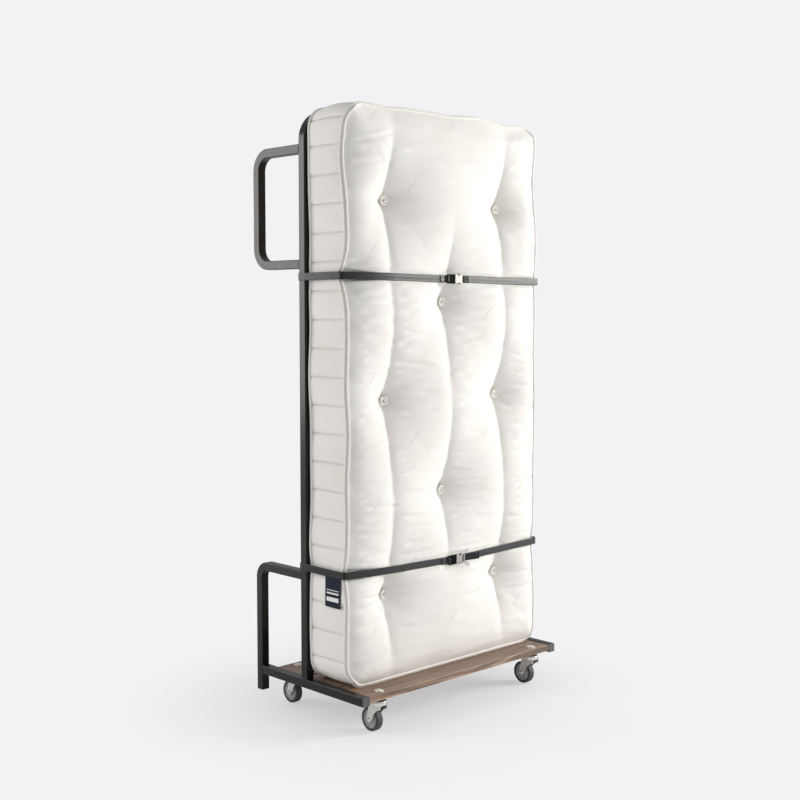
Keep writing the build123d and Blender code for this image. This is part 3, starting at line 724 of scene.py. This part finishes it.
def lean(x, z):
    """How far the front edges lie back at a height: below the top corners and at both straps."""
    left = x < 0
    back = 28 * MM * bump(z - HIGH + 0.18, 0.115) * np.where(left, 1.0, 0.5)
    back = np.maximum(back, 8 * MM * left * smooth_step(-z, -0.42, -0.20))
    for name, wide in (("upper", 0.065), ("lower", 0.05)):
        height = strap_height(name, np.sign(x) * HALF_W)
        back = np.maximum(back, (7 * MM + left * STRAP_BACK[name]) * bump(z - height, wide))
    return back


def buckle_dents(face):
    """How much further back the face lies behind the buckles, and where each plug slides out."""
    x, y, z = np.moveaxis(face, -1, 0)
    deeper = np.zeros_like(x)
    for name in straps:
        for node, slide in ((f"{name}_buckle_plug", PLUG_SLIDE), (f"{name}_buckle_socket", 0)):
            low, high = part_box(node)
            beside = np.maximum(low.x - slide - x, x - high.x)
            beside = np.maximum(beside, np.maximum(low.z - z, z - high.z))
            short = np.maximum(high.y + 1.5 * MM - y, 0)
            deeper = np.maximum(deeper, short * smooth_step(-beside, -16 * MM, -3 * MM))
    return deeper


def rim(array):
    """A grid's outer points in order, anticlockwise seen from the front."""
    return np.concatenate([array[:-1, 0], array[-1, :-1], array[:0:-1, -1], array[0, :0:-1]])


def border_puff(along, across):
    """How far the border stands out: along is counted in seams, across from 0 at the front to 1."""
    from_seam = abs(along - np.round(along))
    puff = 3.4 * MM * (1 - (1 - 2 * from_seam) ** 4)
    groove = 5.0 * MM * bump(from_seam, 0.05)
    swell = np.sin(math.pi * np.clip(across, 0, 1)) ** 0.45
    return (puff - groove) * swell + 2.0 * MM * np.sin(math.pi * across)


def mattress():
    """Cover of the mattress, one closed mesh. Returns its front and rear edges and their way outwards."""
    face = finer(mattress_face())
    x, z = face[..., 0], face[..., 2]
    loose = 1 - sum(strap_grip(name, x, z) for name in straps)
    face[..., 1] += (creases(x, z) + pull_lines(x, z)) * loose + tight_line(x, z)
    face[..., 1] += buckle_dents(face)
    flat_x, flat_z = panel_grid((CELLS[0] * 2, CELLS[1] * 2))
    swell = 1 - (1 - np.clip(inset_from(flat_x, flat_z) / 0.05, 0, 1)) ** 2
    deep = np.minimum(near_tufts(flat_x, flat_z, 0.045), 1)
    back = np.stack([flat_x, BACK + swell * (6.5 * MM - 16 * MM * deep), flat_z], -1)

    edge_front, edge_back = rim(face), rim(back)
    flat = np.stack([flat_x, flat_z], -1)
    outline = rim(flat)
    run = np.roll(outline, -1, 0) - np.roll(outline, 1, 0)
    outward = np.stack([run[:, 1], 0 * run[:, 0], -run[:, 0]], -1)
    outward /= np.linalg.norm(outward, axis=1, keepdims=True)
    seams = (np.arange(len(outline)) - SEAM_START) / (2 * SEAM_STEP)
    across = np.linspace(0, 1, 2 * RINGS + 1)[1:-1]
    rings = (
        edge_front[None] * (1 - across[:, None, None])
        + edge_back[None] * across[:, None, None]
        + outward[None] * border_puff(seams[None], across[:, None])[..., None]
    )
    rings += outward[None] * (0.7 * MM * waves(rings, 31, (0.05, 0.09, 0.05)))[..., None]

    front_index = np.arange(face[..., 0].size).reshape(face.shape[:2])
    back_index = front_index + front_index.size
    ring_index = np.arange(rings[..., 0].size).reshape(rings.shape[:2]) + 2 * front_index.size
    wall = looped(np.concatenate([rim(front_index)[None], ring_index, rim(back_index)[None]]))
    faces = [corners_of(front_index), corners_of(back_index)[:, ::-1], corners_of(wall.T)[:, ::-1]]

    along = np.append(seams, seams[0] + len(outline) / (2 * SEAM_STEP)) * SEAM_PITCH
    depth = np.linspace(0, BACK - FRONT, len(wall))
    wall_uv = np.stack(np.meshgrid(along, depth, indexing="ij"), -1)
    uvs = [corners_of(flat), corners_of(flat)[:, ::-1], corners_of(wall_uv)[:, ::-1]]

    points = np.concatenate([part.reshape(-1, 3) for part in (face, back, rings)])
    piece = mesh_object("mattress", uneven(points), np.concatenate(faces), np.concatenate(uvs))
    dress(piece, ticking("ticking", False), ticking("ticking_border", True), slot="ticking")
    slots = np.concatenate([np.full(len(f), i == 2) for i, f in enumerate(faces)]).astype(np.int32)
    piece.data.polygons.foreach_set("material_index", slots)
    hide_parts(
        "mattress_cover",
        "mattress_front_filling",
        "mattress_rear_filling",
        "mattress_spring_strings",
    )
    return edge_front, edge_back, outward


def piping(name, path, outward, facing, material):
    """Bias-bound edge: two cords side by side with a stitched groove between them."""
    path = uneven(path)
    across = np.tile([0.0, facing, 0.0], (len(path), 1))
    out = (outward - across) / math.sqrt(2)
    side = (outward + across) / math.sqrt(2)
    radius, apart = 4.0 * MM, 4.0 * MM
    angle = np.linspace(0, 2 * math.pi, 24, endpoint=False)
    reach = abs(np.sin(angle)) * apart + np.sqrt(np.maximum(radius**2 - (apart * np.cos(angle)) ** 2, 0))
    profile = np.stack([reach * np.cos(angle), reach * np.sin(angle)], -1)
    piece = mesh_object(name, *tube(path, profile, True, (out, side)))
    return dress(piece, material, slot="piping_cord")


def wool_tufts(spots):
    """Rosettes of looped wool in the tufts' dips. Each spot is a centre and the way it faces along Y."""
    points, faces = [], []
    petals, spread, lifted = 6, 9.0 * MM, 6.5 * MM
    turns, rounds = 14, 7  # cells along and round each loop of wool
    for number, (centre, facing) in enumerate(spots):
        rng = np.random.default_rng(50 + number)
        lift = np.array([0, facing, 0])
        for petal in range(petals + 1):
            central = petal == petals
            heading = 2 * math.pi * petal / petals + rng.uniform(-0.3, 0.3)
            big, small = rng.uniform(5.4, 7.4) * MM, rng.uniform(2.0, 2.7) * MM
            tilt = 0.2 if central else rng.uniform(0.5, 1.0)
            radial = np.array([math.cos(heading), 0, math.sin(heading)])
            other = np.cross(radial, lift)
            a = math.cos(tilt) * radial + math.sin(tilt) * lift
            n = np.cross(a, other)
            start = len(points)
            place = centre + radial * (0 if central else spread) + lift * lifted
            for i in range(turns):
                t = 2 * math.pi * i / turns
                ring = a * math.cos(t) + other * math.sin(t)
                for j in range(rounds):
                    u = 2 * math.pi * j / rounds
                    points.append(place + ring * (big + small * math.cos(u)) + n * small * math.sin(u))
            index = start + np.arange(turns * rounds).reshape(turns, rounds)
            faces += corners_of(looped(np.concatenate([index, index[:1]]))).tolist()
    piece = mesh_object("wool_tufts", points, faces)
    dress(piece, wool(), slot="tuft_wool")
    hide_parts("mattress_tufts")


def label():
    """Woven label sewn to the border, its top edge caught under the strap."""
    low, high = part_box("mattress_label")
    columns, rows = 24, 36
    hem, off, billow, thick = 12 * MM, 7.6 * MM, 1.6 * MM, 0.7 * MM
    y = np.linspace(low.y, high.y, columns + 1)
    z = np.linspace(low.z, high.z - hem, rows + 1)
    grid_y, grid_z = np.meshgrid(y, z, indexing="ij")
    drop = (high.z - grid_z) / (high.z - low.z)
    arch = np.sin(math.pi * (grid_y - low.y) / (high.y - low.y)) ** 0.5
    x = low.x - off - billow * drop * arch
    x -= 1.5 * MM * drop**2
    front = np.stack([x, grid_y, grid_z], -1)
    rear = front + (thick, 0, 0)
    index = np.arange(x.size).reshape(x.shape)
    wall = looped(np.stack([rim(index), rim(index) + x.size]))
    faces = np.concatenate([corners_of(index)[:, ::-1], corners_of(index + x.size), corners_of(wall.T)])
    uv = np.stack([high.y - grid_y, grid_z - low.z], -1)
    edge = np.swapaxes(looped(np.stack([rim(uv), rim(uv)])), 0, 1)
    uvs = np.concatenate([corners_of(uv)[:, ::-1], corners_of(uv), corners_of(edge)])
    points = np.concatenate([front.reshape(-1, 3), rear.reshape(-1, 3)])
    piece = mesh_object("side_label", points, faces, uvs)
    dress(piece, label_cloth(), slot="label_cloth")
    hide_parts("mattress_label")


# ------------ straps


def arc_corner(corner, before, after, radius, steps=10):
    """Points of a rounded corner in plan."""
    corner, before, after = (np.array(p, float) for p in (corner, before, after))
    a, b = before - corner, after - corner
    a /= np.linalg.norm(a)
    b /= np.linalg.norm(b)
    half = math.acos(np.clip(a @ b, -1, 1)) / 2
    reach = radius / math.tan(half)
    bisector = (a + b) / np.linalg.norm(a + b)
    centre = corner + bisector * radius / math.sin(half)
    start, end = corner + a * reach - centre, corner + b * reach - centre
    turn = math.atan2(start[0] * end[1] - start[1] * end[0], start @ end)
    angles = np.linspace(0, turn, steps + 1)[:, None]
    turned = np.array([-start[1], start[0]])
    return list(centre + start * np.cos(angles) + turned * np.sin(angles))


def strap_path(name):
    """Middle line of a strap, from one side of its buckle round the bed to the other."""
    line = straps[name]
    low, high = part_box(f"{name}_strap")
    post_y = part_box("main_hoop")[0].y
    front, rear = low.y + WEB_THICK / 2, high.y - WEB_THICK / 2
    side = high.x - WEB_THICK / 2
    # Corners in plan, each with its radius
    plan = (
        ((line["gap"][0], front), 0),
        ((-piping_high.x - 1.8 * MM, front), 9 * MM),
        ((-side, post_y), 6 * MM),
        ((-side, rear), 2 * MM),
        ((side, rear), 2 * MM),
        ((side, post_y), 6 * MM),
        ((piping_high.x + 5.5 * MM, front), 9 * MM),
        ((line["gap"][1], front), 0),
    )
    points = [np.array(plan[0][0])]
    for (before, _), (corner, radius), (after, _) in zip(plan, plan[1:], plan[2:]):
        points += arc_corner(corner, before, after, radius)
    points.append(np.array(plan[-1][0]))
    x, y = denser(points, 12 * MM, 1).T
    edge_height = np.where(x < 0, line["left"], line["right"])
    on_side = edge_height + (line["post"] - edge_height) * smooth_step(y, front + 0.01, post_y)
    z = np.where(y < front + 0.006, strap_height(name, x), on_side)
    ahead = 1 - smooth_step(y, front, front + 0.09)
    return np.column_stack([x, y + ahead * lie_back(name, x), z])


def ribbon(name, path, width, thick, seed):
    """Webbing along a path, upright across its width, with soft rounded edges."""
    along = np.gradient(path, axis=0)
    along[:, 2] = 0
    along /= np.linalg.norm(along, axis=1, keepdims=True)
    out = np.column_stack([along[:, 1], -along[:, 0], 0 * along[:, 0]])
    up = np.tile([0.0, 0.0, 1.0], (len(path), 1))
    wander = waves(path, seed, (0.12, 0.12, 0.5))
    path = path + up * (wander * 0.5 * MM)[:, None]
    across = np.array([-1, -0.97, -0.86, -0.5, 0, 0.5, 0.86, 0.97, 1]) * (width / 2)
    lift = np.array([0.2, 0.8, 1, 0.92, 0.9, 0.92, 1, 0.8, 0.2]) * (thick / 2)
    profile = np.concatenate([np.stack([lift, across], -1), np.stack([-lift, across], -1)[::-1]])
    return mesh_object(name, *tube(path, profile, False, (out, up)))


def fold(name, low, high, direction, cloth, body=BODY, drop=0.0):
    """A strap's end in a box: out of the buckle, over its bar and back along the strap, to -X or to +X."""
    thick = 1.6 * MM
    outer = low.y + thick / 2
    web = strap_inner_y - WEB_THICK - 0.5 * MM - thick / 2
    start, end = (high.x, low.x) if direction < 0 else (low.x, high.x)
    # Millimetres past the buckle's edge, and the depth there
    route = [(0.8, high.y), (0.8, outer + 2 * MM), (2.4, outer), (8.0, outer), (14.5, web), (20, web)]
    points = [(start + direction * a * MM, y) for a, y in route] + [(end, web)]
    dense = denser(np.array(points), 1.2 * MM, 2)
    for _ in range(6):
        dense[1:-1] = (dense[:-2] + 2 * dense[1:-1] + dense[2:]) / 4
    fall = smooth_step(abs(dense[:, 0] - dense[0, 0]), 0.01, abs(dense[-1, 0] - dense[0, 0]))
    path = np.column_stack([dense, (low.z + high.z) / 2 - drop * fall])
    if direction < 0:
        path = path[::-1]
    piece = ribbon(name, path, WEB_WIDTH - 0.6 * MM, 1.5 * MM, 70)
    return dress(piece, cloth, slot="webbing", body=body)


def straps_and_folds():
    """The two loops, the folds that hold them to the plugs, and their loose ends past the sockets."""
    cloth, folded = webbing("webbing", 0.4), webbing("folded_webbing", 0.1)
    for number, name in enumerate(straps):
        piece = ribbon(f"{name}_webbing", strap_path(name), WEB_WIDTH, 1.9 * MM, 60 + number)
        dress(piece, cloth, slot="webbing")
        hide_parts(f"{name}_strap")
        keeper = f"{name}_strap_keeper"
        piece = fold(f"{name}_keeper_fold", *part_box(keeper), -1, cloth, f"{name}_plug")
        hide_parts(keeper)
    low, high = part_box("strap_tails")
    # Each tail's length, or None for as long as the CAD's box, and its droop
    for name, length, drop in (("upper", 37.6 * MM, 0.0), ("lower", None, 3.5 * MM)):
        z = straps[name]["buckle"]
        end = low.x + length if length else high.x
        corner_low = Vector((low.x, low.y, z - WEB_WIDTH / 2))
        corner_high = Vector((end, high.y, z + WEB_WIDTH / 2))
        piece = fold(f"{name}_tail_fold", corner_low, corner_high, 1, folded, drop=drop)
        if name == "upper":
            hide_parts("strap_tails")


# ------------ welds


def weld(centre, u, v, half, seed):
    """Rippled weld bead round a square tube's end, in the plane of u and v."""
    steps, sides, bead, ripples = 120, 8, 1.7 * MM, 26
    centre, u, v = (np.array(p, float) for p in (centre, u, v))
    angle = np.linspace(0, 2 * math.pi, steps, endpoint=False)
    c, s = np.cos(angle), np.sin(angle)
    reach = half / (abs(c) ** 9 + abs(s) ** 9) ** (1 / 9)
    path = centre + u * (reach * c)[:, None] + v * (reach * s)[:, None]
    out = u * c[:, None] + v * s[:, None]
    side = np.tile(np.cross(u, v), (steps, 1))
    around = np.linspace(0, 2 * math.pi, sides, endpoint=False)
    profile = bead * np.stack([np.cos(around), np.sin(around)], -1)
    points, faces, _ = tube(path, profile, True, (out, side))
    ring = points.reshape(steps, sides, 3)
    ripple = 1 + 0.12 * np.sin(angle * ripples + seed)
    ring = path[:, None] + (ring - path[:, None]) * ripple[:, None, None]
    return ring.reshape(-1, 3), faces


def welds(paint):
    """Beads where the legs, posts and rails meet."""
    hoop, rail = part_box("main_hoop"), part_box("left_base_rail")
    head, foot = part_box("left_head_leg"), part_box("left_foot_leg")
    foot_cross, middle_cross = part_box("foot_cross_rail"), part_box("middle_cross_rail")
    half_tube, square, flat = 15 * MM, 14.4, 9.6  # half sizes of the beads in millimetres
    post_x, inner_x = hoop[1].x - half_tube, hoop[1].x - 2 * half_tube
    post_y, back = middle(hoop, 1), hoop[1].y
    X, Y, Z = (1, 0, 0), (0, 1, 0), (0, 0, 1)
    places = []
    for side in (-1, 1):
        for z in (head[1].z - half_tube, head[0].z + half_tube, foot[1].z - half_tube):
            places.append(((side * post_x, back, z), Z, X, square))
        places += [
            ((side * post_x, post_y, rail[1].z), X, Y, square),
            ((side * post_x, rail[1].y, middle(rail, 2)), Z, X, square),
            ((side * inner_x, post_y, middle(foot_cross, 2)), Y, Z, square),
            ((side * inner_x, middle(middle_cross, 1), middle(middle_cross, 2)), Y, Z, flat),
        ]
    points, faces, start = [], [], 0
    for seed, (centre, u, v, half) in enumerate(places):
        co, quads = weld(centre, u, v, half * MM, seed)
        points.append(co)
        faces += [[i + start for i in f] for f in quads]
        start += len(co)
    dress(mesh_object("weld_beads", np.concatenate(points), faces), paint, slot="frame_paint")


# ------------ CAD nodes' materials


def finish_cad(paint):
    """Gives every CAD node that still shows the material of its slot in the record."""
    finishes = {"frame_paint": paint, "stained_timber": walnut(), "beech_ply": beech()}
    # Slot, maker, then the maker's own values: colour, roughness and so on
    for slot, make, *values in (
        ("zinc_plate", plated, (0.90, 0.885, 0.85), 0.36),
        ("polished_steel", plated, (0.80, 0.80, 0.81), 0.14, 60),
        ("buckle_nickel", plated, (0.33, 0.322, 0.30), 0.52, 90),
        ("cap_plastic", moulded, (0.085, 0.085, 0.09), 0.42),
        ("holder_plastic", moulded, (0.03, 0.03, 0.031), 0.5),
        ("spacer_rubber", moulded, (0.012, 0.012, 0.012), 0.6),
        ("wheel_plastic", moulded, (0.37, 0.37, 0.375), 0.42, 1400),
        ("tyre_rubber", moulded, (0.055, 0.055, 0.058), 0.62, 900, 0.00008),
        ("buckle_plastic", moulded, (0.002, 0.002, 0.0025), 0.65, 1500, 0.00005, 0.05),
    ):
        finishes[slot] = make(slot, *values)
    for part in frame["record"]["subparts"]:
        node = frame["nodes"][part["node"]]
        if part["material_slot"] in finishes and not node.hide_render:
            node.data.materials.clear()
            node.data.materials.append(finishes[part["material_slot"]])


# ------------ stage


def area_light(name, place, target, size, power, colour):
    data = bpy.data.lights.new(name, "AREA")
    data.shape = "RECTANGLE"
    data.size, data.size_y = size
    data.energy = power
    data.color = colour
    lamp = bpy.data.objects.new(name, data)
    bpy.context.scene.collection.objects.link(lamp)
    lamp.location = place
    lamp.rotation_euler = (Vector(target) - Vector(place)).to_track_quat("-Z", "Y").to_euler()


def seamless():
    """Pale floor that fades with distance into the backdrop's own brightness."""
    s = Shader("studio_floor", FLOOR, 0.9, specular_ior_level=0.1)
    glow = s.node("Emission", {"Color": (*BACKDROP, 1), "Strength": 1.0})
    away = s.node("VectorMath", {0: s.coords()}, operation="LENGTH").outputs["Value"]
    fade = s.range(away, 0.52, 1.0, 0.35, 1.1, interpolation_type="SMOOTHSTEP")
    seen = s.node("LightPath").outputs["Is Camera Ray"]
    share = s.math("MULTIPLY", fade, seen)
    both = s.node("MixShader", {0: share, 1: s.surface.outputs[0], 2: glow.outputs[0]})
    s.tree.links.new(both.outputs[0], s.tree.nodes["Material Output"].inputs["Surface"])
    return s.material


def stage():
    """Floor, backdrop, lights and camera."""
    corners = [(a * FLOOR_REACH, b * FLOOR_REACH, 0) for a, b in ((-1, -1), (1, -1), (1, 1), (-1, 1))]
    floor = mesh_object("studio_floor", corners, [[0, 1, 2, 3]], smooth=False)
    floor.data.materials.append(seamless())

    world = bpy.data.worlds.new("studio")
    bpy.context.scene.world = world
    world.use_nodes = True
    nodes, links = world.node_tree.nodes, world.node_tree.links
    ambient = nodes["Background"]
    ambient.inputs["Color"].default_value = (0.96, 0.97, 1.0, 1)
    ambient.inputs["Strength"].default_value = AMBIENT
    seen = nodes.new("ShaderNodeBackground")
    seen.inputs["Color"].default_value = (*BACKDROP, 1)
    mix = nodes.new("ShaderNodeMixShader")
    links.new(nodes.new("ShaderNodeLightPath").outputs["Is Camera Ray"], mix.inputs[0])
    links.new(ambient.outputs[0], mix.inputs[1])
    links.new(seen.outputs[0], mix.inputs[2])
    links.new(mix.outputs[0], nodes["World Output"].inputs["Surface"])

    for light in LIGHTS:
        area_light(*light)

    lens = bpy.data.cameras.new("camera")
    lens.sensor_width = 36
    lens.lens = CAMERA_LENS
    lens.clip_end = 200
    camera = bpy.data.objects.new("camera", lens)
    bpy.context.scene.collection.objects.link(camera)
    camera.location = CAMERA_PLACE
    camera.rotation_euler = (math.radians(90 - CAMERA_DOWN), 0, math.radians(CAMERA_TURN))
    bpy.context.scene.camera = camera
    bpy.context.scene.view_settings.view_transform = "Standard"


# ------------ the whole


def main():
    paint = powder_coat()
    edge_front, edge_back, outward = mattress()
    tape = binding()
    cord = piping("front_piping", edge_front, outward, 1, tape)
    piping("rear_piping", edge_back, outward, -1, tape)
    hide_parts("mattress_piping")
    depths = ((FRONT + TUFT_DEPTH, -1), (BACK - 9 * MM, 1))
    wool_tufts([(np.array([t.x, y, t.z]), facing) for y, facing in depths for t in tuft_centres])
    label()
    straps_and_folds()
    welds(paint)
    finish_cad(paint)
    stage()


main()
